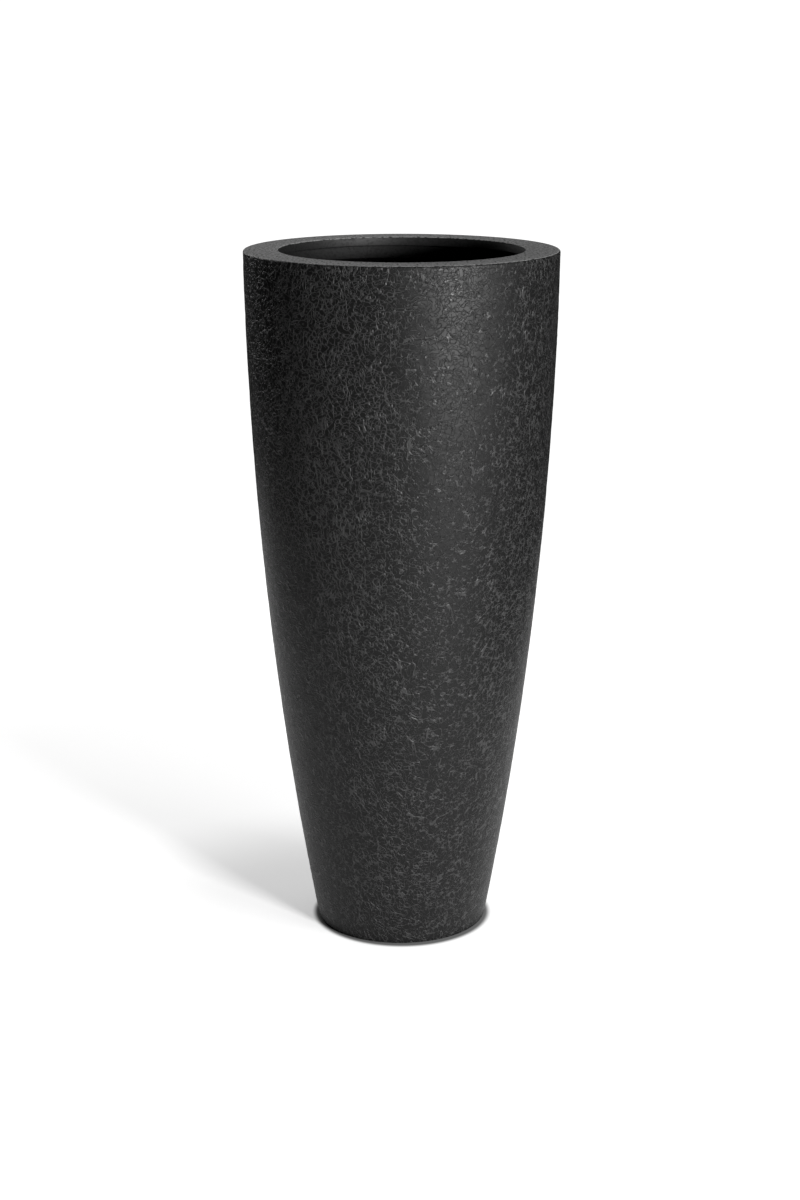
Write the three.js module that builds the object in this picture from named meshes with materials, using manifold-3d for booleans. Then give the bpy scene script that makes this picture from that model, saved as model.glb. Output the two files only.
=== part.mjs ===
// A tall round fibreglass planter, in millimetres, +Z up.
// The origin is on the ground, on the planter's axis. The wall is one laminated shell with an
// inturned foot, a flat rim ring nests in its top, and a plate with a drain hole closes the foot.
// A loose shelf stands on three brackets inside, so that a pot sits just below the rim.

import * as THREE from "three";
import { mergeVertices } from "three/addons/utils/BufferGeometryUtils.js";
import Module from "manifold-3d";

// Driving dimensions.
const planterHeight = 900; // ground to the rim's flat top
const rimRadius = 200; // the wall's outside at the top
const footRadius = 113; // the wall's outside at the foot
const wallBulge = 19.5; // how far the wall stands outside a straight taper, halfway up
const wallThickness = 5;
const topEdgeRadius = 2.5; // rounding of the wall's top edge
const footEdgeRadius = 3; // rounding of the foot's outer edge
const footFlangeWidth = 26; // from the foot's outside in to the flange's edge

const rimWidth = 44; // from the wall's outside in to the opening
const rimThickness = 5;
const lipDepth = 12; // from the rim's top down to the return lip's edge
const lipThickness = 4;
const lipEdgeBevel = 0.8;
const skirtDepth = 32; // from the rim's top down to the bonded skirt's edge
const skirtThickness = 4;

const basePlateThickness = 8;
const drainHoleRadius = 12.5;

const plugHeadRadius = 20;
const plugHeadThickness = 4;
const plugHeadBevel = 1;
const plugProtrusion = 2; // how far the plug's stem stands out below the plate
const plugStemTaper = 1.5; // how much narrower the stem is at its end
const plugNeckRadius = 4.5;
const plugKnobRadius = 8;
const plugKnobRise = 10; // from the head's top up to the knob's centre

const shelfHeight = 560; // ground to the shelf's underside
const shelfThickness = 5;
const shelfRimHeight = 16; // from the shelf's underside up to its upturned edge
const shelfRimThickness = 4;
const shelfEdgeBevel = 2;
const shelfHoleRadius = 15;
const shelfHoleCircle = 85; // radius of the circle on which the outer holes lie
const shelfHoleCount = 3;

const bracketCount = 3;
const bracketWidth = 44;
const bracketOverlap = 18; // how far a bracket reaches in under the shelf
const bracketDepth = 60; // from the bracket's top down to its foot on the wall
const bracketThickness = 5;
const bracketNose = 10; // height of the bracket's web at its inner end

const padCount = 4;
const padRadius = 8;
const padHeight = 1.5;

// Clearances.
const bondGap = 0.3; // adhesive line between bonded pieces
const shelfOpeningGap = 6; // between the shelf's edge and the opening that it lifts out through
const plugGap = 0.3; // between the plug's stem and its hole
const seatGap = 0.3; // under a loose piece that rests on another
const cutOverrun = 1; // how far a drilled hole runs past the faces that it goes through

// Steps in a full turn, and along the wall's arc.
const turnSteps = 72;
const smallTurnSteps = 36;
const wallSteps = 12;
const bracketSteps = 2;
const edgeSteps = 4;

const wasm = await Module();
wasm.setup();

// The wall's outline is one arc, from the foot's outside to the rim's.
const wallArc = circleThrough(footRadius, padHeight, rimRadius, planterHeight, wallBulge);

function circleThrough(startX, startY, endX, endY, bulge) {
  const chord = Math.hypot(endX - startX, endY - startY);
  const radius = (chord ** 2 / 4 + bulge ** 2) / (2 * bulge);
  const toCentre = radius - bulge;
  return {
    radius,
    x: (startX + endX) / 2 - (toCentre * (endY - startY)) / chord,
    y: (startY + endY) / 2 + (toCentre * (endX - startX)) / chord,
  };
}

// The wall's radius at a height, on its outside or at a depth below it.
function wallRadiusAt(height, depth = 0) {
  return wallArc.x + Math.sqrt((wallArc.radius - depth) ** 2 - (height - wallArc.y) ** 2);
}

// Points on the wall's arc between two heights, both included.
function wallPoints(fromHeight, toHeight, depth, steps) {
  const points = [];
  for (let step = 0; step <= steps; step++) {
    const height = fromHeight + ((toHeight - fromHeight) * step) / steps;
    points.push([wallRadiusAt(height, depth), height]);
  }
  return points;
}

// Points on a quarter turn about a centre, from one angle to another in degrees.
function cornerPoints(centreX, centreY, radius, fromAngle, toAngle) {
  const points = [];
  for (let step = 0; step <= edgeSteps; step++) {
    const angle = THREE.MathUtils.degToRad(fromAngle + ((toAngle - fromAngle) * step) / edgeSteps);
    points.push([centreX + radius * Math.cos(angle), centreY + radius * Math.sin(angle)]);
  }
  return points;
}

// A solid of revolution about Z. The profile runs anticlockwise in radius and height.
function turned(profile, steps = turnSteps) {
  const outline = profile.map(([radius, height]) => new THREE.Vector2(radius, height));
  if (profile[0][0] > 0) outline.push(outline[0].clone());
  const geometry = new THREE.LatheGeometry(outline, steps);
  return geometry.rotateX(Math.PI / 2);
}

// A flat outline in radius and height, made a slab that lies along X, of the given width in Y.
function slab(outline, width) {
  const shape = new THREE.Shape(outline.map(([radius, height]) => new THREE.Vector2(radius, height)));
  const geometry = new THREE.ExtrudeGeometry(shape, { depth: width, bevelEnabled: false });
  geometry.translate(0, 0, -width / 2);
  return geometry.rotateX(Math.PI / 2);
}

function upright(radius, fromHeight, toHeight, x = 0, y = 0) {
  const geometry = new THREE.CylinderGeometry(radius, radius, toHeight - fromHeight, smallTurnSteps);
  geometry.rotateX(Math.PI / 2);
  return geometry.translate(x, y, (fromHeight + toHeight) / 2);
}

function toSolid(geometry) {
  const bare = geometry.clone();
  bare.deleteAttribute("normal");
  bare.deleteAttribute("uv");
  const merged = mergeVertices(bare);
  return new wasm.Manifold(
    new wasm.Mesh({
      numProp: 3,
      vertProperties: merged.attributes.position.array,
      triVerts: new Uint32Array(merged.index.array),
    }),
  );
}

function toGeometry(solid) {
  const mesh = solid.getMesh();
  const geometry = new THREE.BufferGeometry();
  geometry.setAttribute("position", new THREE.BufferAttribute(mesh.vertProperties, 3));
  geometry.setIndex(new THREE.BufferAttribute(mesh.triVerts, 1));
  const faceted = geometry.toNonIndexed();
  faceted.computeVertexNormals();
  return faceted;
}

function finish(color, roughness, metalness = 0) {
  return new THREE.MeshStandardMaterial({ color, roughness, metalness });
}

function named(name, geometry, material) {
  const mesh = new THREE.Mesh(geometry, material);
  mesh.name = name;
  return mesh;
}

// Heights and radii that several pieces share.
const flangeTop = padHeight + wallThickness;
const plateTop = flangeTop + basePlateThickness;
const openingRadius = rimRadius - rimWidth;
const shelfRadius = openingRadius - shelfOpeningGap;
const bracketTop = shelfHeight - seatGap;

function bodyShell() {
  const outside = wallPoints(padHeight + footEdgeRadius, planterHeight - topEdgeRadius, 0, wallSteps);
  const inside = wallPoints(planterHeight, flangeTop, wallThickness, wallSteps);
  const footEdge = wallRadiusAt(padHeight + footEdgeRadius) - footEdgeRadius;
  const topEdge = wallRadiusAt(planterHeight - topEdgeRadius) - topEdgeRadius;
  const profile = [
    [footRadius - footFlangeWidth, flangeTop],
    [footRadius - footFlangeWidth, padHeight],
    ...cornerPoints(footEdge, padHeight + footEdgeRadius, footEdgeRadius, -90, 0).slice(0, -1),
    ...outside.slice(0, -1),
    ...cornerPoints(topEdge, planterHeight - topEdgeRadius, topEdgeRadius, 0, 90),
    ...inside,
  ];
  return named("body_shell", turned(profile), finish(0x2b2b2c, 0.62));
}

function rimRing() {
  const skirtFoot = planterHeight - skirtDepth;
  const plateUnderside = planterHeight - rimThickness;
  const lipFoot = planterHeight - lipDepth;
  const bondDepth = wallThickness + bondGap;
  const profile = [
    [openingRadius, planterHeight - lipEdgeBevel],
    [openingRadius, lipFoot],
    [openingRadius + lipThickness, lipFoot],
    [openingRadius + lipThickness, plateUnderside],
    [wallRadiusAt(plateUnderside, bondDepth + skirtThickness), plateUnderside],
    [wallRadiusAt(skirtFoot, bondDepth + skirtThickness), skirtFoot],
    [wallRadiusAt(skirtFoot, bondDepth), skirtFoot],
    [wallRadiusAt(planterHeight, bondDepth), planterHeight],
    [openingRadius + lipEdgeBevel, planterHeight],
  ];
  return named("rim_ring", turned(profile), finish(0x6a6a6b, 0.7));
}

function basePlate() {
  const bondDepth = wallThickness + bondGap;
  const profile = [
    [drainHoleRadius, flangeTop],
    [wallRadiusAt(flangeTop, bondDepth), flangeTop],
    [wallRadiusAt(plateTop, bondDepth), plateTop],
    [drainHoleRadius, plateTop],
  ];
  return named("base_plate", turned(profile), finish(0x1c1c1d, 0.8));
}

// The stem hangs in the drain hole, the head covers it, and the round knob is for pulling.
function drainPlug() {
  const stemRadius = drainHoleRadius - plugGap;
  const stemFoot = flangeTop - plugProtrusion;
  const headFoot = plateTop + seatGap;
  const headTop = headFoot + plugHeadThickness;
  const knobCentre = headTop + plugKnobRise;
  const knobStart = -THREE.MathUtils.radToDeg(Math.acos(plugNeckRadius / plugKnobRadius));
  const profile = [
    [0, stemFoot],
    [stemRadius - plugStemTaper, stemFoot],
    [stemRadius, headFoot],
    [plugHeadRadius, headFoot],
    [plugHeadRadius, headTop - plugHeadBevel],
    [plugHeadRadius - plugHeadBevel, headTop],
    [plugNeckRadius, headTop],
    ...cornerPoints(0, knobCentre, plugKnobRadius, knobStart, 90).slice(0, -1),
    [0, knobCentre + plugKnobRadius],
  ];
  return named("drain_plug", turned(profile, smallTurnSteps), finish(0x111111, 0.9));
}

// A round tray with an upturned edge, and holes for water and for lifting fingers.
function plantingShelf() {
  const shelfTop = shelfHeight + shelfThickness;
  const edgeTop = shelfHeight + shelfRimHeight;
  const edgeInside = shelfRadius - shelfRimThickness;
  const hole = [shelfHoleRadius, shelfHeight - cutOverrun, shelfTop + cutOverrun];
  const profile = [
    [0, shelfHeight],
    [shelfRadius - shelfEdgeBevel, shelfHeight],
    [shelfRadius, shelfHeight + shelfEdgeBevel],
    [shelfRadius, edgeTop],
    [edgeInside, edgeTop],
    [edgeInside, shelfTop],
    [0, shelfTop],
  ];
  let tray = toSolid(turned(profile)).subtract(toSolid(upright(...hole)));
  for (let index = 0; index < shelfHoleCount; index++) {
    // Each outer hole lies midway between two brackets.
    const angle = ((2 * index + 1) * Math.PI) / shelfHoleCount;
    const x = shelfHoleCircle * Math.cos(angle);
    const y = shelfHoleCircle * Math.sin(angle);
    tray = tray.subtract(toSolid(upright(...hole, x, y)));
  }
  return named("planting_shelf", toGeometry(tray), finish(0x242425, 0.7));
}

// A bracket has a top plate, a web under it and a back that follows the wall's inner curve.
function bracketGeometry() {
  const foot = bracketTop - bracketDepth;
  const innerEnd = shelfRadius - bracketOverlap;
  const outerEnd = wallRadiusAt(bracketTop); // past the wall's inside, where the cut ends it
  const wallFace = wallThickness + bondGap;
  const backFace = wallFace + bracketThickness;
  const plate = slab(outlineBetween(bracketTop - bracketThickness, bracketTop), bracketWidth);
  const block = slab(outlineBetween(foot, bracketTop), bracketWidth);
  const web = slab(
    [
      [innerEnd, bracketTop - bracketNose],
      [wallRadiusAt(foot, backFace), foot],
      [outerEnd, foot],
      [outerEnd, bracketTop],
      [innerEnd, bracketTop],
    ],
    bracketThickness,
  );
  const cavity = turned([
    [0, foot],
    ...wallPoints(foot, bracketTop, wallFace, bracketSteps),
    [0, bracketTop],
  ]);
  const lining = turned([
    ...wallPoints(foot, bracketTop, wallFace, bracketSteps),
    ...wallPoints(bracketTop, foot, backFace, bracketSteps),
  ]);
  const arms = toSolid(plate).add(toSolid(web)).intersect(toSolid(cavity));
  const back = toSolid(block).intersect(toSolid(lining));
  return toGeometry(arms.add(back));

  function outlineBetween(fromHeight, toHeight) {
    return [
      [innerEnd, fromHeight],
      [outerEnd, fromHeight],
      [outerEnd, toHeight],
      [innerEnd, toHeight],
    ];
  }
}

function shelfBrackets() {
  const brackets = new THREE.Group();
  const geometry = bracketGeometry();
  for (let index = 0; index < bracketCount; index++) {
    const bracket = named(`shelf_bracket_${index + 1}`, geometry, finish(0x2a2a2b, 0.75));
    bracket.rotation.z = (index * 2 * Math.PI) / bracketCount;
    brackets.add(bracket);
  }
  return brackets;
}

function footPads() {
  const pads = new THREE.Group();
  const circle = footRadius - footFlangeWidth / 2;
  for (let index = 0; index < padCount; index++) {
    const angle = Math.PI / padCount + (index * 2 * Math.PI) / padCount;
    const pad = named(`foot_pad_${index + 1}`, upright(padRadius, 0, padHeight), finish(0x0e0e0e, 0.95));
    pad.position.set(circle * Math.cos(angle), circle * Math.sin(angle), 0);
    pads.add(pad);
  }
  return pads;
}

const planter = new THREE.Group();
planter.add(bodyShell(), rimRing(), basePlate(), drainPlug());
planter.add(plantingShelf(), shelfBrackets(), footPads());

export default planter;
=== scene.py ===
# %% [markdown]
# # A tall crinkled planter, in cells
#
# The planter is a tall, round, tapering pot of black fibreglass laminate. Its outside has the fine
# crinkled skin of the mould that it was laid up in, a flat ring closes the top down to a round
# mouth, and the inside is left dark. The script dresses a measured model of it: every piece is
# modelled afresh where the measured one stands, and every surface gets a material of its own.
#
# Lengths are metres, +Z is up, and the planter stands on the ground at the origin.

# %% The measured frame
import math

import bpy
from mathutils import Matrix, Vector


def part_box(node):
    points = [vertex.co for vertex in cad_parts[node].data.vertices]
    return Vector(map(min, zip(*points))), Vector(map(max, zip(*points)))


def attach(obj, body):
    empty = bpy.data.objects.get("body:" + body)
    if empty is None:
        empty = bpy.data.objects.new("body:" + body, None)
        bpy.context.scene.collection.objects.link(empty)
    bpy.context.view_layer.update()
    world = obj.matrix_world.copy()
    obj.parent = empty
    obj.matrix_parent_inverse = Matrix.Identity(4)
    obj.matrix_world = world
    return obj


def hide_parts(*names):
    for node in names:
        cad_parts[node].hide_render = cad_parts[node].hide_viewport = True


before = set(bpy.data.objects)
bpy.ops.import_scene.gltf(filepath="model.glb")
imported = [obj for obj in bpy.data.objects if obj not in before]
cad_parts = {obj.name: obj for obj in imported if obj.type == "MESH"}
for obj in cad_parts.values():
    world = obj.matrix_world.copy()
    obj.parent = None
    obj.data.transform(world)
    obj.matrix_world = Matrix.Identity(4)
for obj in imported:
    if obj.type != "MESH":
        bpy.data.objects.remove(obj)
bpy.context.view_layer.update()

mm = 0.001
small_reach = 0.1 * mm
full_turn = 2 * math.pi
print("pieces to dress:", ", ".join(sorted(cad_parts)))

# %% [markdown]
# ## What the frame already knows
#
# A turned piece is known by its outline: a radius at each height. The measured pieces hold that
# outline in their vertices, so sizes are read from them, and nothing is typed twice. The wall's
# outline is one long arc, like a slice of a very large circle, and three points settle a circle.

# %% Radii of the measured pieces
def radii_near(node, height, reach=1 * mm):
    """Distances from the axis of a measured piece's vertices near one height, sorted."""
    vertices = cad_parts[node].data.vertices
    return sorted(math.hypot(v.co.x, v.co.y) for v in vertices if abs(v.co.z - height) < reach)


def heights_near(node, radius, reach=1 * mm):
    """Heights of a measured piece's vertices near one distance from the axis, sorted."""
    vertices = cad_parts[node].data.vertices
    return sorted(v.co.z for v in vertices if abs(math.hypot(v.co.x, v.co.y) - radius) < reach)


wall_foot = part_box("body_shell")[0].z
wall_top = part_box("body_shell")[1].z
foot_rounding = 3 * mm
top_rounding = 2.5 * mm
rings = sorted({round(v.co.z, 5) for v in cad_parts["body_shell"].data.vertices})
print(f"wall from {wall_foot:.4f} to {wall_top:.4f} m, rings at {len(rings)} heights")

# %% The wall's arc
def circle_through(a, b, c):
    """Centre and radius of the circle through three points, given as (radius, height)."""
    (ax, ay), (bx, by), (cx, cy) = a, b, c
    twist = 2 * (ax * (by - cy) + bx * (cy - ay) + cx * (ay - by))
    a2, b2, c2 = ax**2 + ay**2, bx**2 + by**2, cx**2 + cy**2
    x = (a2 * (by - cy) + b2 * (cy - ay) + c2 * (ay - by)) / twist
    y = (a2 * (cx - bx) + b2 * (ax - cx) + c2 * (bx - ax)) / twist
    return x, y, math.hypot(ax - x, ay - y)


arc_low = wall_foot + foot_rounding
arc_high = wall_top - top_rounding
arc_middle = min(rings, key=lambda height: abs(height - (arc_low + arc_high) / 2))
arc_heights = (arc_low, arc_middle, arc_high)
arc_points = [(radii_near("body_shell", height)[-1], height) for height in arc_heights]
arc_x, arc_y, arc_radius = circle_through(*arc_points)
wall_thickness = radii_near("body_shell", arc_high)[-1] - radii_near("body_shell", wall_top)[0]


def wall_radius(height, depth=0.0):
    """The wall's radius at a height, on its outside or at a depth under it."""
    return arc_x + math.sqrt((arc_radius - depth) ** 2 - (height - arc_y) ** 2)


print(f"arc radius {arc_radius:.3f} m, wall {wall_thickness / mm:.2f} mm thick")

# %% [markdown]
# ## Camera
#
# The photograph looks down a little, from in front. Its long lens keeps the taper's sides calm. A
# camera can be placed by eye, but three things that look alike have to be told apart here: how far
# away it is, how high, and how far it tilts. So they were found together, by fitting the rim's
# ellipse, the two sides and the foot at once.

# %% Camera
def add_camera():
    camera_distance = 2.6823
    camera_height = 1.1759
    camera_side = -0.0021
    looking_down = math.radians(15.321)
    bpy.ops.object.camera_add(
        location=(camera_side, -camera_distance, camera_height),
        rotation=(math.pi / 2 - looking_down, 0, 0),
    )
    camera = bpy.context.object
    camera.name = "camera"
    camera.data.sensor_width = 36
    camera.data.lens = 63.3
    bpy.context.scene.camera = camera
    print(f"camera {camera_distance:.2f} m away and {camera_height:.2f} m up")


add_camera()

# %% [markdown]
# ## Turning an outline
#
# Nearly every piece here is round. Such a piece could start as a cylinder that is inset and
# extruded, but then its rounded edges have to be bevelled afterwards. The turner's way is to draw
# half of its section, roundings and all, and spin it about the axis: one vertex is pulled from point
# to point, and the spin operator sweeps the line into a surface. Doubled points are merged before
# the normals are made to face outwards.

# %% Outline and spin
def arc_points_about(centre, radius, start, end, steps):
    """Points on an arc in the section plane, angles in degrees, both ends included."""
    turns = [math.radians(start + (end - start) * step / steps) for step in range(steps + 1)]
    return [(centre[0] + radius * math.cos(t), centre[1] + radius * math.sin(t)) for t in turns]


def start_vertex(name, point):
    """A new object that holds one vertex, left selected in edit mode."""
    bpy.ops.object.select_all(action="DESELECT")
    bpy.ops.mesh.primitive_circle_add(vertices=3, radius=1 * mm)
    piece = bpy.context.object
    piece.name = name
    piece.data.name = name
    bpy.ops.object.mode_set(mode="EDIT")
    bpy.ops.mesh.select_all(action="SELECT")
    bpy.ops.mesh.merge(type="CENTER")
    bpy.ops.transform.translate(value=(point[0], 0, point[1]))
    return piece


def turned(name, outline, steps):
    """A solid of revolution. The outline's last point is joined to its first."""
    weld = 0.01 * mm
    piece = start_vertex(name, outline[0])
    path = outline + outline[:1]
    for (x1, z1), (x2, z2) in zip(path, path[1:]):
        bpy.ops.mesh.extrude_region_move(TRANSFORM_OT_translate={"value": (x2 - x1, 0, z2 - z1)})
    bpy.ops.mesh.select_all(action="SELECT")
    bpy.ops.mesh.remove_doubles(threshold=weld)
    bpy.ops.mesh.spin(steps=steps, angle=full_turn, center=(0, 0, 0), axis=(0, 0, 1))
    bpy.ops.mesh.select_all(action="SELECT")
    bpy.ops.mesh.remove_doubles(threshold=weld)
    bpy.ops.mesh.delete_loose(use_verts=True, use_edges=True, use_faces=False)
    bpy.ops.mesh.select_all(action="SELECT")
    bpy.ops.mesh.normals_make_consistent(inside=False)
    bpy.ops.mesh.select_all(action="DESELECT")
    bpy.ops.object.mode_set(mode="OBJECT")
    print(f"{name}: {len(piece.data.vertices)} vertices, {len(piece.data.polygons)} faces")
    return piece


# %% Modifiers and shading
def apply_modifier(piece, kind, **settings):
    """Adds one modifier to a piece and applies it at once."""
    bpy.ops.object.select_all(action="DESELECT")
    piece.select_set(True)
    bpy.context.view_layer.objects.active = piece
    bpy.ops.object.modifier_add(type=kind)
    modifier = piece.modifiers[-1]
    for setting, value in settings.items():
        setattr(modifier, setting, value)
    bpy.ops.object.modifier_apply(modifier=modifier.name)


def shade(piece, sharpest=40):
    """Smooth shading, with edges kept sharp past an angle in degrees."""
    bpy.ops.object.select_all(action="DESELECT")
    piece.select_set(True)
    bpy.context.view_layer.objects.active = piece
    bpy.ops.object.shade_smooth_by_angle(angle=math.radians(sharpest))


# %% [markdown]
# ## Shader maths
#
# A procedural material is a sum: grain times a mask, plus a wave, minus a scratch. The class below
# wraps one output of a node, so that such a sum can be written as a Python expression, and each
# operator adds its Math node. Every other node comes from the one method called node.

# %% Wires
class Wire:
    """One output of a node. Arithmetic on wires adds Math nodes to the same tree."""

    def __init__(self, socket):
        self.socket = socket

    def node(self, kind, settings=None, sockets=None, out=0):
        """Adds a node, with its settings and what goes into its sockets, and wraps one output."""
        tree = self.socket.id_data
        made = tree.nodes.new(kind)
        for setting, value in (settings or {}).items():
            setattr(made, setting, value)
        for name, value in (sockets or {}).items():
            if isinstance(value, Wire):
                tree.links.new(value.socket, made.inputs[name])
            else:
                made.inputs[name].default_value = value
        return Wire(made.outputs[out])

    def math(self, operation, *values):
        return self.node("ShaderNodeMath", {"operation": operation}, dict(enumerate(values)))

    def __add__(self, other):
        return self.math("ADD", self, other)

    def __sub__(self, other):
        return self.math("SUBTRACT", self, other)

    def __rsub__(self, other):
        return self.math("SUBTRACT", other, self)

    def __mul__(self, other):
        return self.math("MULTIPLY", self, other)

    def __abs__(self):
        return self.math("ABSOLUTE", self)

    __radd__ = __add__
    __rmul__ = __mul__


# %% Patterns
def noise(place, scale, detail=2.0, roughness=0.5):
    """Soft noise from 0 to 1 about a half. Scale is waves to the metre."""
    return place.node(
        "ShaderNodeTexNoise",
        {"noise_dimensions": "3D"},
        {"Vector": place, "Scale": scale, "Detail": detail, "Roughness": roughness},
    )


def between(value, low, high):
    """0 below low, 1 above high, and a smooth step from one to the other."""
    return value.node(
        "ShaderNodeMapRange",
        {"interpolation_type": "SMOOTHSTEP"},
        {"Value": value, "From Min": low, "From Max": high},
    )


def veins(place, scale, width):
    """Thin lines, 1 along the middle of each, where a noise passes its halfway value."""
    return 1 - between(abs(noise(place, scale, 0.0) - 0.5), 0.0, width)


def shifted(place, scale, reach, offset=(0, 0, 0)):
    """Places moved about by a noise, so that what is drawn on them wanders."""
    cloud = place.node(
        "ShaderNodeTexNoise",
        {"noise_dimensions": "3D"},
        {"Vector": place, "Scale": scale, "Detail": 1.0},
        out=1,
    )
    halves = (0.5, 0.5, 0.5)
    centred = place.node("ShaderNodeVectorMath", {"operation": "SUBTRACT"}, {0: cloud, 1: halves})
    push = place.node("ShaderNodeVectorMath", {"operation": "SCALE"}, {0: centred, "Scale": reach})
    moved = place.node("ShaderNodeVectorMath", {"operation": "ADD"}, {0: place, 1: push})
    return place.node("ShaderNodeVectorMath", {"operation": "ADD"}, {0: moved, 1: offset})


def blend_colour(factor, first, second):
    """From one colour to another as factor goes from 0 to 1."""
    sockets = {0: factor, 6: first, 7: second}
    return factor.node("ShaderNodeMix", {"data_type": "RGBA"}, sockets, out=2)


def grey(level):
    """A grey, from black at 0 to white at 1."""
    return (level, level, level, 1.0)


# %% A finish
def new_finish(name):
    """A material, its surface shader, and the object coordinates as a wire."""
    material = bpy.data.materials.new(name)
    material.use_nodes = True
    shader = material.node_tree.nodes["Principled BSDF"]
    coordinates = material.node_tree.nodes.new("ShaderNodeTexCoord")
    return material, shader, Wire(coordinates.outputs["Object"])


def connect(shader, name, wire):
    """Lets a wire drive one of the shader's sockets."""
    shader.id_data.links.new(wire.socket, shader.inputs[name])


def bump(height, distance):
    """A relief, for which a height of 1 stands that many metres out."""
    sockets = {"Height": height, "Distance": distance, "Strength": 1.0}
    return height.node("ShaderNodeBump", {}, sockets)


# %% [markdown]
# ## The crinkled laminate
#
# The mould's skin leaves folds in the resin: thin raised lines, a millimetre wide and about a
# centimetre long, that wander, cross and break off, with small smooth patches between them. There
# are thousands, far too fine to model, so they are relief in the finish. A crackle of cells would be
# the quick way, but its lines are straight and all join up. A noise gives a curved line wherever it
# passes its middle value, and a shallow hollow runs along both sides of it, where the resin was
# drawn up. Four layers of different size lie over each other. The crests are smoother, and their
# colour is painted a little greyer as a painted glint; the hollows are painted the deepest black, as
# painted shade.

# %% One layer of folds
def folds(place, number, scale, width, patch, low):
    """Crests and relief of one layer. A fold is left out where the patch noise is under low."""
    offset = tuple(step * (number + 1) % 1.0 for step in (0.37, 0.71, 0.53))
    wander = 3 * mm
    fading = 0.12
    moved = shifted(place, 70 + 23 * number, wander, offset)
    away = abs(noise(moved, scale, 0.0) - 0.5)
    crest = 1 - between(away, 0.0, width)
    hollow = 1 - between(away, width, 3 * width)
    whole = between(noise(moved, patch), low, low + fading)
    return crest * whole, (crest * 1.5 - hollow * 0.5) * whole


def highest(wires):
    """The largest of several wires at each place."""
    top = wires[0]
    for wire in wires[1:]:
        top = top.math("MAXIMUM", top, wire)
    return top


# %% Crinkled laminate
def crinkled_laminate():
    material, shader, place = new_finish("crinkled_skin")
    # Scale of the folds, width of one, scale of the patches, and how much of them is smooth.
    sizes = [
        (90, 0.043, 70, 0.32),
        (115, 0.048, 90, 0.33),
        (145, 0.053, 110, 0.34),
        (180, 0.066, 120, 0.37),
    ]
    weights = (1.0, 1.0, 0.9, 0.8)
    layers = [folds(place, number, *size) for number, size in enumerate(sizes)]
    crests = highest([crest * weight for (crest, _), weight in zip(layers, weights)])
    relief = highest([rise * weight for (_, rise), weight in zip(layers, weights)])
    swell = noise(place, 60, 1.0)
    fold_height = 0.7 * mm
    connect(shader, "Normal", bump(relief + swell * 0.8, fold_height))
    # Colour follows the relief: crests painted greyer, a painted glint, and hollows painted black,
    # painted shade.
    painted_glint_and_shade = between(relief, -0.3, 1.0)
    connect(shader, "Base Color", blend_colour(painted_glint_and_shade, grey(0.0), grey(0.0195)))
    connect(shader, "Roughness", 0.48 - crests * 0.1)
    shader.inputs["Specular IOR Level"].default_value = 0.154
    return material


crinkle_finish = crinkled_laminate()
print("finish:", crinkle_finish.name)

# %% [markdown]
# ## The rim's finish
#
# The flat top is sprayed with a matt coat that dries to an even, fine stipple. Its colour is painted
# a little lighter than the wall and the lip, as painted light from above. The lip below it is
# smoother. Two materials would meet there in a hard line, so one does both, and the stipple and the
# painted light fade out with height, just under the mouth's edge.

# %% Rim laminate
def height_of(place):
    """How high each place is, in metres."""
    return place.node("ShaderNodeSeparateXYZ", {}, {0: place}, out=2)


def rim_laminate():
    material, shader, place = new_finish("stippled_coat_and_top_light")
    on_top = between(height_of(place), wall_top - 1.2 * mm, wall_top - 0.3 * mm)
    stipple_and_top_light = on_top * 0.9 + 0.1
    stipple = noise(place, 430, 1.0, 0.6)
    specks = between(noise(place, 300, 1.0), 0.36, 0.5)
    mottle = noise(place, 90, 2.0)
    stipple_height = 0.5 * mm
    connect(shader, "Normal", bump(stipple * stipple_and_top_light + mottle * 0.3, stipple_height))
    # The top's lighter colour is painted light from above, over the coat's own stipple and specks.
    tone = between((stipple * 0.7 + mottle * 0.3) * specks * stipple_and_top_light, 0.0, 0.6)
    connect(shader, "Base Color", blend_colour(tone, grey(0.003), grey(0.21)))
    connect(shader, "Roughness", 0.62 - specks * 0.08 + mottle * 0.06)
    shader.inputs["Specular IOR Level"].default_value = 0.28
    return material


rim_finish = rim_laminate()
print("finish:", rim_finish.name)

# %% [markdown]
# ## The unseen inside
#
# Inside, the laminate is left as it came off the brush: black resin over chopped glass strands, with
# the strands showing through as long crossing ridges. Its colour is darkened further to near black,
# as painted shade of the dark inside. Strands could be drawn one by one as curves, but nobody sees
# them in the dark, so two sets of noise lines of unlike length do.

# %% Inner laminate
def inner_laminate():
    material, shader, place = new_finish("brushed_resin_and_painted_shade")
    long_strands = veins(shifted(place, 40, 6 * mm), 55, 0.03)
    short_strands = veins(place, 85, 0.035)
    strands = long_strands.math("MAXIMUM", long_strands, short_strands)
    pooling = noise(place, 28, 2.0)
    grain = noise(place, 600, 2.0)
    connect(shader, "Normal", bump(strands * 0.5 + pooling * 0.7 + grain * 0.12, 1.0 * mm))
    tone = between(strands * 0.6 + pooling * 0.6, 0.3, 1.0)
    # Near black: the resin's own black, darkened further as painted shade.
    connect(shader, "Base Color", blend_colour(tone, grey(0.001), grey(0.004)))
    connect(shader, "Roughness", 0.48 + pooling * 0.18)
    shader.inputs["Specular IOR Level"].default_value = 0.06
    return material


inner_finish = inner_laminate()
print("finish:", inner_finish.name)

# %% [markdown]
# ## Plastic and rubber
#
# The shelf is injection moulded, with the even spark texture of its tool and faint scuffs from
# pots. The plug and the pads are black rubber: dull, a little greyer where the bloom comes out. The
# two rubbers differ only in how grey the bloom is, so one function makes both.

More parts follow.
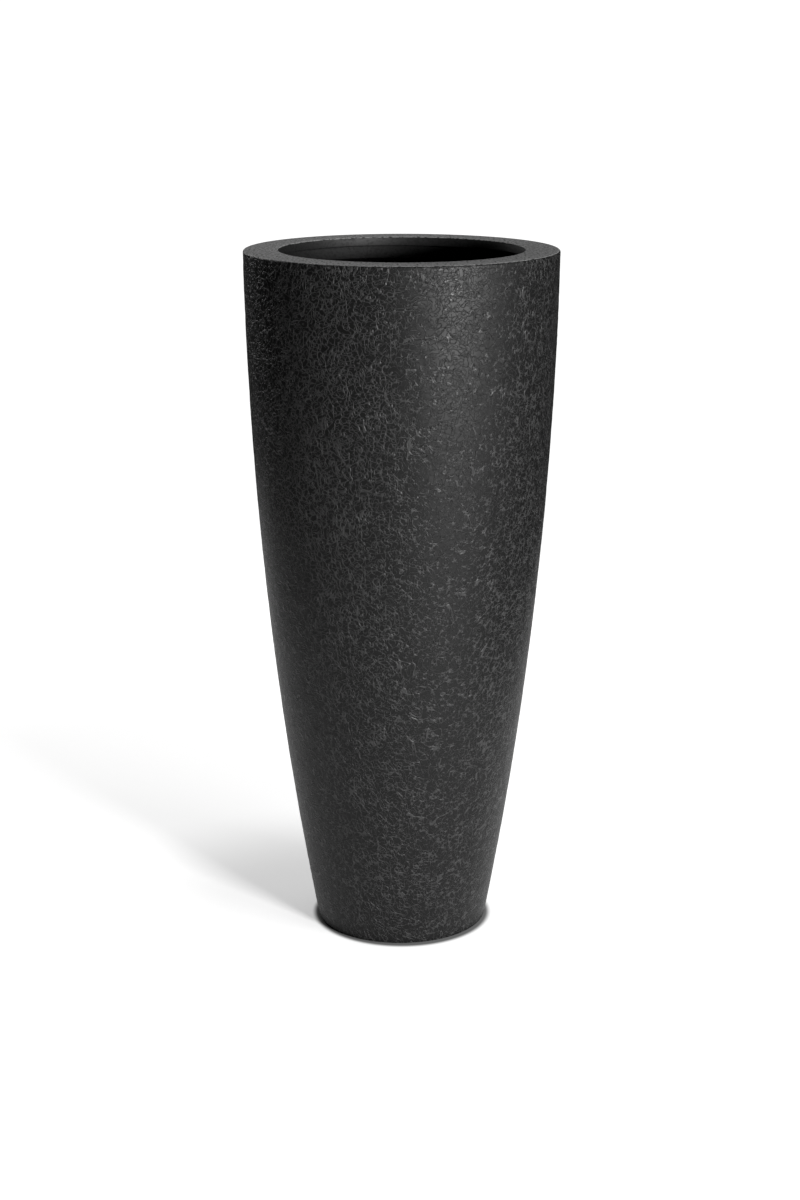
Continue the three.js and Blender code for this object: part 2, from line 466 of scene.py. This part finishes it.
# %% Shelf plastic
def shelf_plastic():
    material, shader, place = new_finish("tray_plastic")
    spark = noise(place, 1100, 1.0)
    flow = noise(place, 14, 2.0)
    scuffs = veins(shifted(place, 30, 12 * mm), 22, 0.006) * between(noise(place, 18), 0.45, 0.6)
    connect(shader, "Normal", bump(spark * 0.6 - scuffs * 0.3, 0.12 * mm))
    tone = between(flow + scuffs * 0.6, 0.3, 1.0)
    connect(shader, "Base Color", blend_colour(tone, grey(0.014), grey(0.03)))
    connect(shader, "Roughness", 0.46 + flow * 0.1 + scuffs * 0.15)
    return material


shelf_finish = shelf_plastic()
print("finish:", shelf_finish.name)

# %% Rubbers
def rubber(name, dust):
    """Black rubber. Dust is how light the grey of its bloom is."""
    material, shader, place = new_finish(name)
    bloom = noise(place, 120, 3.0, 0.6)
    grain = noise(place, 1500, 1.0)
    connect(shader, "Normal", bump(grain * 0.5 + bloom * 0.4, 0.1 * mm))
    connect(shader, "Base Color", blend_colour(between(bloom, 0.35, 0.75), grey(0.009), grey(dust)))
    connect(shader, "Roughness", 0.72 + bloom * 0.15)
    return material


plug_finish = rubber("soft_rubber", 0.02)
pad_finish = rubber("hard_rubber", 0.016)
print("finishes:", ", ".join(sorted(material.name for material in bpy.data.materials)))

# %% [markdown]
# ## Corners with a radius
#
# Nothing that was laid up, moulded or trimmed has a knife edge. A bevel could break the edges of
# the finished solid, but on a turned piece it is simpler in the section: an outline is given by its
# corners, each with the radius that it was rounded to, and a small arc takes the place of the
# corner. Inner corners are filled in the same way, as resin fills them.

# %% Rounded outline
def rounded(corners, steps=4):
    """A closed outline from corners given as (radius, height, rounding)."""
    outline = []
    for index, (x, z, rounding) in enumerate(corners):
        corner = Vector((x, z))
        if rounding == 0:
            outline.append((x, z))
            continue
        back = Vector(corners[index - 1][:2]) - corner
        ahead = Vector(corners[(index + 1) % len(corners)][:2]) - corner
        back.normalize()
        ahead.normalize()
        half = back.angle(ahead) / 2
        centre = corner + (back + ahead).normalized() * rounding / math.sin(half)
        first = corner + back * rounding / math.tan(half) - centre
        sweep = first.angle_signed(corner + ahead * rounding / math.tan(half) - centre)
        for step in range(steps + 1):
            turn = -sweep * step / steps
            outline.append((
                centre.x + first.x * math.cos(turn) - first.y * math.sin(turn),
                centre.y + first.x * math.sin(turn) + first.y * math.cos(turn),
            ))
    return outline


# %% [markdown]
# ## The wall
#
# On the real planter it is one lay-up of glass and resin, about 5 mm thick, pulled from a mould
# that is widest at the top. Its outline runs along the foot, round a small edge, up the long arc,
# round the top edge, and down the inside. Two rings of points would do for a perfect cone, but the
# laminate is hand laid and never quite fair. So the outside gets fine rings, and a Displace modifier
# gives it that slow unevenness as shape, where a bump would leave the outline too clean.

# %% Wall outline
ring_spacing = 3.6 * mm
wall_steps = 336  # nearly the same spacing round the top
inside_spacing = 60 * mm
flange_edge = radii_near("body_shell", wall_foot)[0]
flange_top = max(heights_near("body_shell", flange_edge))


def spaced(low, high, spacing):
    """Even heights from low to high, about so far apart."""
    count = max(1, round(abs(high - low) / spacing))
    return [low + (high - low) * step / count for step in range(count + 1)]


def wall_outline():
    """The wall's section, from the flange's edge round the outside and down the inside."""
    foot_centre = (wall_radius(arc_low) - foot_rounding, arc_low)
    top_centre = (wall_radius(arc_high) - top_rounding, arc_high)
    trim = 0.6 * mm
    outline = [
        (flange_edge, flange_top - trim),
        (flange_edge, wall_foot + trim),
        (flange_edge + trim, wall_foot),
    ]
    outline += arc_points_about(foot_centre, foot_rounding, -90, 0, 6)[:-1]
    outline += [(wall_radius(height), height) for height in spaced(arc_low, arc_high, ring_spacing)]
    outline += arc_points_about(top_centre, top_rounding, 0, 90, 6)[1:]
    inside = spaced(wall_top, flange_top, inside_spacing)
    outline += [(wall_radius(height, wall_thickness), height) for height in inside]
    return outline + [(flange_edge + trim, flange_top)]


wall = turned("wall", wall_outline(), wall_steps)

# %% Unevenness of the hand-laid outside
def outside_group(piece):
    """A vertex group of the outside, which fades out towards the two rounded edges."""
    group = piece.vertex_groups.new(name="outside")
    fade = 10 * mm
    for vertex in piece.data.vertices:
        height = vertex.co.z
        radius = math.hypot(vertex.co.x, vertex.co.y)
        if arc_low < height < arc_high and radius > wall_radius(height) - wall_thickness / 2:
            near_edge = min(height - arc_low, arc_high - height) / fade
            group.add([vertex.index], min(1.0, near_edge), "REPLACE")
    return group.name


def unevenness(name, kind, size, **settings):
    """A texture for the Displace modifier."""
    texture = bpy.data.textures.new(name, kind)
    texture.noise_scale = size
    for setting, value in settings.items():
        setattr(texture, setting, value)
    return texture


group_name = outside_group(wall)
slow_wave = unevenness("slow_wave", "CLOUDS", 45 * mm, noise_depth=1)
lay_up = unevenness("lay_up", "MUSGRAVE", 11 * mm, musgrave_type="RIDGED_MULTIFRACTAL", octaves=2)
for texture, depth in ((slow_wave, 0.5 * mm), (lay_up, 0.22 * mm)):
    apply_modifier(
        wall, "DISPLACE", texture=texture, texture_coords="LOCAL", direction="NORMAL",
        strength=depth, mid_level=0.6, vertex_group=group_name,
    )
    print(f"{texture.name}: up to {depth / mm:.2f} mm")
shade(wall)

# %% [markdown]
# ## Three finishes on one wall
#
# The wall is crinkled outside, brushed inside, and gets the ring's sprayed coat on its top edge. A
# separate mesh for each would have to match its neighbours point for point, so the wall stays whole
# and its faces are told apart by where they are.

# %% The wall's three finishes
def finish_faces(piece, finish, chosen):
    """Gives the faces for which chosen(face centre) holds a finish of their own."""
    piece.data.materials.append(finish)
    slot = len(piece.data.materials) - 1
    count = 0
    for face in piece.data.polygons:
        if chosen(face.center):
            face.material_index = slot
            count += 1
    print(f"{finish.name}: {count} faces of {piece.name}")


def is_inside(centre):
    """Whether a face is on the wall's inside, above the flange."""
    radius = math.hypot(centre.x, centre.y)
    return flange_edge < radius < wall_radius(centre.z) - wall_thickness / 2 and centre.z > flange_top


def is_top_edge(centre):
    """Whether a face is on the level part of the top edge, which is sprayed with the ring."""
    overspray = 0.15 * top_rounding
    return centre.z > wall_top - overspray


wall.data.materials.append(crinkle_finish)
finish_faces(wall, inner_finish, is_inside)
finish_faces(wall, rim_finish, is_top_edge)
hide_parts("body_shell")
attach(wall, "planter")

# %% [markdown]
# ## The rim
#
# A flat ring closes the top down to the mouth, with a lip turned down round the opening and a
# skirt that is bonded inside the wall. It could be drawn in one outline with the wall, but it is a
# moulding of its own and stays one here. The joint is filled and sanded flush before the paint, so
# the ring runs right out to the wall. Its mouth edge has a bare millimetre of rounding, enough to
# catch a thin line of light.

# %% Rim
def make_rim():
    low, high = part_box("rim_ring")
    mouth = min(math.hypot(v.co.x, v.co.y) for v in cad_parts["rim_ring"].data.vertices)
    lip_foot = heights_near("rim_ring", mouth)[0]
    lip_back = radii_near("rim_ring", lip_foot)[-1]
    underside = heights_near("rim_ring", lip_back)[-1]
    skirt_face = [r for r in radii_near("rim_ring", underside) if r > lip_back + 1 * mm][0]
    skirt_foot_face = radii_near("rim_ring", low.z)[0]
    corners = [
        (mouth, high.z, 0.8 * mm),
        (mouth, lip_foot, 1.4 * mm),
        (lip_back, lip_foot, 1.4 * mm),
        (lip_back, underside, 2.0 * mm),
        (skirt_face, underside, 3.0 * mm),
        (skirt_foot_face, low.z, 1.2 * mm),
        (wall_radius(low.z, wall_thickness), low.z, 0),
        (wall_radius(high.z, wall_thickness), high.z, 0),
    ]
    rim = turned("rim", rounded(corners), steps=240)
    shade(rim)
    rim.data.materials.append(rim_finish)
    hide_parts("rim_ring")
    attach(rim, "planter")
    print(f"mouth {2 * mouth / mm:.0f} mm across, lip {(high.z - lip_foot) / mm:.0f} mm deep")


make_rim()

# %% [markdown]
# ## The base board
#
# A round board is bonded onto the foot's flange and closes the pot. A bead of resin is run round
# its edge, up against the wall. A thin ring laid in the corner would be one way to show it, but the
# resin is one with the board, so the board's outline rises there in a hollow curve. The drain hole
# in its middle has a small rounding, left by the drill and a wipe of resin.

# %% Base board
def make_base_board():
    low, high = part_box("base_plate")
    hole = radii_near("base_plate", high.z)[0]
    bead = 6 * mm
    bead_edge = 0.8 * mm
    bead_foot = 1.2 * mm
    bead_hollow = 4.5 * mm
    wall_side = wall_radius(high.z + bead, wall_thickness)
    corners = [
        (hole, high.z, 1.0 * mm),
        (hole, low.z, 0.5 * mm),
        (wall_radius(low.z, wall_thickness), low.z, 0),
        (wall_side, high.z + bead, 0),
        (wall_side - bead_edge, high.z + bead, 0),
        (wall_radius(high.z, wall_thickness) - bead_foot, high.z, bead_hollow),
    ]
    board = turned("base_board", rounded(corners), steps=144)
    shade(board)
    board.data.materials.append(inner_finish)
    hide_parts("base_plate")
    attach(board, "planter")
    print(f"drain hole {2 * hole / mm:.0f} mm across")


make_base_board()

# %% [markdown]
# ## The drain plug
#
# It is one soft rubber moulding: a tapered stem, a flat head that seals on the board, and a round
# knob on a short neck for the fingers. A sphere on a cylinder would leave a crease that rubber never
# has, so stem, head, neck and knob are one outline with every corner soft. A hairline is left on the
# knob where the mould's two halves met.

# %% Drain plug
def make_plug():
    low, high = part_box("drain_plug")
    seal = 0.3 * mm
    head_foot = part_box("base_plate")[1].z + seal
    head = max(math.hypot(v.co.x, v.co.y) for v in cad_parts["drain_plug"].data.vertices)
    head_top = sorted(heights_near("drain_plug", head - 1 * mm, small_reach))[-1]
    stem = [r for r in radii_near("drain_plug", head_foot, small_reach) if r < head - 1 * mm][-1]
    stem_end = radii_near("drain_plug", low.z, small_reach)[-1]
    knob = 8 * mm
    knob_centre = high.z - knob
    neck = 4.5 * mm
    hairline = knob + 0.12 * mm
    hairline_half = 0.15 * mm
    stem_corners = [
        (stem_end, low.z, 1.0 * mm),
        (stem, head_foot, 0.8 * mm),
        (head, head_foot, 0.8 * mm),
        (head, head_top, 1.2 * mm),
        (neck, head_top, 1.5 * mm),
    ]
    # rounded() needs a neighbour on each side, so the axis and the knob's start are its ends.
    knob_start = (neck, knob_centre - math.sqrt(knob**2 - neck**2))
    ends = [(0, low.z, 0)] + stem_corners + [(*knob_start, 0)]
    outline = rounded(ends)
    start_angle = -math.degrees(math.acos(neck / knob))
    outline += arc_points_about((0, knob_centre), knob, start_angle, -3, 9)[1:]
    outline += [(hairline, knob_centre - hairline_half), (hairline, knob_centre + hairline_half)]
    outline += arc_points_about((0, knob_centre), knob, 3, 90, 12)
    plug = turned("plug", outline, steps=96)
    shade(plug)
    plug.data.materials.append(plug_finish)
    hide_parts("drain_plug")
    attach(plug, "plug")
    print(f"plug {(high.z - low.z) / mm:.1f} mm high")


make_plug()

# %% [markdown]
# ## The planting shelf
#
# A shallow round tray of black plastic stands on the brackets, so that a nursery pot sits just
# under the mouth. It is turned as the other round pieces are. Its middle hole is in the outline, but
# the three round it can't be, so they are cut by boolean with cylinders that are thrown away
# afterwards. A bevel then breaks their edges, and any faces without area that the cuts left are
# dissolved.

# %% Cutting a hole
def cut_hole(piece, x, y, radius, low, high):
    """Cuts a round hole through a piece, between two heights."""
    bpy.ops.object.select_all(action="DESELECT")
    bpy.ops.mesh.primitive_cylinder_add(
        vertices=64, radius=radius, depth=high - low, location=(x, y, (low + high) / 2)
    )
    cutter = bpy.context.object
    apply_modifier(piece, "BOOLEAN", operation="DIFFERENCE", solver="EXACT", object=cutter)
    bpy.data.objects.remove(cutter, do_unlink=True)


# %% Clearing slivers
def drop_slivers(piece):
    """Dissolves faces without area, which a boolean can leave where edges nearly meet."""
    bpy.ops.object.select_all(action="DESELECT")
    piece.select_set(True)
    bpy.context.view_layer.objects.active = piece
    bpy.ops.object.mode_set(mode="EDIT")
    bpy.ops.mesh.select_all(action="SELECT")
    bpy.ops.mesh.dissolve_degenerate(threshold=0.02 * mm)
    bpy.ops.mesh.select_all(action="DESELECT")
    bpy.ops.object.mode_set(mode="OBJECT")


# %% Shelf
def make_shelf():
    low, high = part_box("planting_shelf")
    edge = high.x
    edge_inside = radii_near("planting_shelf", high.z, small_reach)[0]
    tray_top = heights_near("planting_shelf", edge_inside, small_reach)[0]
    chamfer = edge - radii_near("planting_shelf", low.z, small_reach)[-1]
    hole = radii_near("planting_shelf", tray_top, small_reach)[0]
    floor_radii = radii_near("planting_shelf", low.z, small_reach)
    beyond_middle = [radius for radius in floor_radii if radius > hole + 1 * mm]
    hole_circle = beyond_middle[0] + hole
    through = 1 * mm
    corners = [
        (hole, tray_top, 0.8 * mm),
        (hole, low.z, 0.8 * mm),
        (edge, low.z, chamfer),
        (edge, high.z, 1.6 * mm),
        (edge_inside, high.z, 1.6 * mm),
        (edge_inside, tray_top, 3.0 * mm),
    ]
    shelf = turned("shelf", rounded(corners, steps=5), steps=192)
    for hole_angle in (60, 180, 300):
        turn = math.radians(hole_angle)
        x, y = hole_circle * math.cos(turn), hole_circle * math.sin(turn)
        cut_hole(shelf, x, y, hole, low.z - through, tray_top + through)
    apply_modifier(
        shelf, "BEVEL", width=0.8 * mm, segments=2, limit_method="ANGLE",
        angle_limit=math.radians(60), harden_normals=False,
    )
    drop_slivers(shelf)
    shade(shelf)
    shelf.data.materials.clear()
    shelf.data.materials.append(shelf_finish)
    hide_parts("planting_shelf")
    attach(shelf, "shelf")
    print(f"shelf {2 * edge / mm:.0f} mm across, holes {2 * hole / mm:.0f} mm")


make_shelf()

# %% [markdown]
# ## Brackets
#
# Three small laminate brackets are bonded to the wall under the shelf: a top plate, a web and a
# curved back. They could be joined again from three plates, but the measured shape is already right
# but for its knife edges. So each is a copy of it, welded, cleared of needless edges, and bevelled.

# %% Brackets
def make_bracket(number):
    node = f"shelf_bracket_{number}"
    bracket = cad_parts[node].copy()
    bracket.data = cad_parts[node].data.copy()
    bracket.name = f"bracket_{number}"
    bracket.data.name = bracket.name
    bpy.context.collection.objects.link(bracket)
    bpy.ops.object.select_all(action="DESELECT")
    bracket.select_set(True)
    bpy.context.view_layer.objects.active = bracket
    bpy.ops.object.mode_set(mode="EDIT")
    bpy.ops.mesh.select_all(action="SELECT")
    bpy.ops.mesh.remove_doubles(threshold=0.02 * mm)
    bpy.ops.mesh.dissolve_limited(angle_limit=math.radians(2))
    bpy.ops.mesh.normals_make_consistent(inside=False)
    bpy.ops.object.mode_set(mode="OBJECT")
    apply_modifier(
        bracket, "BEVEL", width=0.9 * mm, segments=3, limit_method="ANGLE",
        angle_limit=math.radians(35),
    )
    shade(bracket)
    bracket.data.materials.clear()
    bracket.data.materials.append(inner_finish)
    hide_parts(node)
    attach(bracket, "planter")
    print(f"{bracket.name}: {len(bracket.data.polygons)} faces")


for number in (1, 2, 3):
    make_bracket(number)

# %% [markdown]
# ## Foot pads
#
# Four thin rubber buttons are glued under the flange. They hold the foot a hair off the floor, and
# that gap, with painted shade in the paper under it, draws the dark line round it. A plain cylinder
# would have a knife edge, so one is turned with a soft one, and all four are copies of it, each with
# a mesh of its own.

# %% Foot pads
def make_pads():
    low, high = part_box("foot_pad_1")
    radius = (high.x - low.x) / 2
    corners = [(0, high.z, 0), (0, 0, 0), (radius, 0, 0.5 * mm), (radius, high.z, 0.2 * mm)]
    pattern = turned("pad_pattern", rounded(corners), steps=48)
    for number in (1, 2, 3, 4):
        pad_low, pad_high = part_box(f"foot_pad_{number}")
        pad = pattern.copy()
        pad.data = pattern.data.copy()
        pad.name = f"pad_{number}"
        pad.data.name = pad.name
        bpy.context.collection.objects.link(pad)
        bpy.ops.object.select_all(action="DESELECT")
        pad.select_set(True)
        bpy.context.view_layer.objects.active = pad
        bpy.ops.object.mode_set(mode="EDIT")
        bpy.ops.mesh.select_all(action="SELECT")
        centre = (pad_low + pad_high) / 2
        bpy.ops.transform.translate(value=(centre.x, centre.y, 0))
        bpy.ops.object.mode_set(mode="OBJECT")
        shade(pad)
        pad.data.materials.append(pad_finish)
        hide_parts(f"foot_pad_{number}")
        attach(pad, "planter")
    bpy.data.objects.remove(pattern, do_unlink=True)
    print(f"pads {2 * radius / mm:.0f} mm across")


make_pads()

# %% [markdown]
# ## Floor and light
#
# The planter is shown black on pure white with one soft shadow. Strong lamps alone would whiten the
# ground, but they would wash out the wall as well. So a sheet of white paper lies under the planter
# as on a light table, and the paper is given a painted glow. The glow is turned down behind the
# planter's left side as a painted shadow, and to its right, where the lamps fall. Close to the foot
# it neither glows nor throws much light back, as painted contact shade, so a dark line is left there.
#
# A small low light in front, to the right, puts the sheen on the upper wall. A wider one beside it
# carries the sheen round the right flank, and one behind draws the thin bright left edge. The last
# hangs over the back and lights the ring and the paper.

# %% Floor
def away_from(place, point):
    """Distance of each place from a point."""
    return place.node("ShaderNodeVectorMath", {"operation": "DISTANCE"}, {0: place, 1: point}, out=1)


def add_floor():
    left, right, front, back = -1.3, 0.8, -1.5, 2.0
    bpy.ops.object.select_all(action="DESELECT")
    bpy.ops.mesh.primitive_plane_add(size=1, location=(0, 0, 0))
    floor = bpy.context.object
    floor.name = "floor"
    bpy.ops.object.mode_set(mode="EDIT")
    bpy.ops.mesh.select_all(action="SELECT")
    bpy.ops.transform.resize(value=(right - left, back - front, 1))
    bpy.ops.transform.translate(value=((left + right) / 2, (front + back) / 2, 0))
    bpy.ops.object.mode_set(mode="OBJECT")
    material, shader, place = new_finish("white_paper_painted_shadow")
    shader.inputs["Roughness"].default_value = 0.9
    middle, shadow, lit_side = (0, 0, 0), (-0.14, 0.04, 0), (0.4, 0, 0)
    # The paper's glow is painted light. It is turned down round a point behind the foot's left side,
    # as a painted shadow, and near the foot's right.
    off_shadow = between(away_from(place, shadow), 0.08, 0.36)
    off_lit_side = between(away_from(place, lit_side), 0.2, 0.7)
    far_off = between(away_from(place, middle), 0.9, 1.7)
    foot = wall_radius(arc_low)
    # Painted contact shade: round the foot the paper is darker and does not glow.
    off_painted_foot_shade = between(away_from(place, middle), foot + 1 * mm, foot + 10 * mm)
    connect(shader, "Base Color", blend_colour(off_painted_foot_shade, grey(0.1), grey(0.54)))
    painted_glow = blend_colour(off_shadow * off_lit_side, grey(0.4), grey(0.66))
    painted_glow = blend_colour(far_off, painted_glow, grey(0.9))
    connect(shader, "Emission Color", blend_colour(off_painted_foot_shade, grey(0.0), painted_glow))
    shader.inputs["Emission Strength"].default_value = 1.0
    floor.data.materials.append(material)
    print(f"paper {right - left:.1f} by {back - front:.1f} m, foot {2 * foot / mm:.0f} mm across")


# %% Lights
def add_softbox(name, azimuth, elevation, width, height, power):
    """A soft light, its azimuth in degrees round from the camera's side towards the right."""
    turn, rise = math.radians(azimuth), math.radians(elevation)
    distance = 2.6
    aim = Vector((0, 0, 0.5))
    way = Vector((math.sin(turn) * math.cos(rise), -math.cos(turn) * math.cos(rise), math.sin(rise)))
    bpy.ops.object.light_add(type="AREA", location=aim + way * distance)
    light = bpy.context.object
    light.name = name
    light.rotation_euler = way.to_track_quat("Z", "Y").to_euler()
    light.data.shape = "RECTANGLE"
    light.data.size = width
    light.data.size_y = height
    light.data.energy = power
    print(f"{name}: {power} W, {width} by {height} m")


def set_world(seen, felt):
    """Surroundings with one brightness to the camera, and another to everything else."""
    world = bpy.data.worlds.new("studio")
    bpy.context.scene.world = world
    world.use_nodes = True
    background = world.node_tree.nodes["Background"]
    path = Wire(world.node_tree.nodes.new("ShaderNodeLightPath").outputs["Is Camera Ray"])
    world.node_tree.links.new((path * (seen - felt) + felt).socket, background.inputs["Strength"])
    background.inputs["Color"].default_value = (1, 1, 1, 1)


add_floor()
add_softbox("sheen_light", azimuth=35, elevation=10, width=0.5, height=0.4, power=152)
add_softbox("key_light", azimuth=54, elevation=13, width=0.9, height=0.6, power=48)
add_softbox("back_light", azimuth=180, elevation=65, width=2.4, height=1.6, power=28)
add_softbox("edge_light", azimuth=-140, elevation=30, width=1.0, height=1.2, power=18)
set_world(seen=1.1, felt=0.0)
bpy.context.scene.view_settings.view_transform = "Standard"
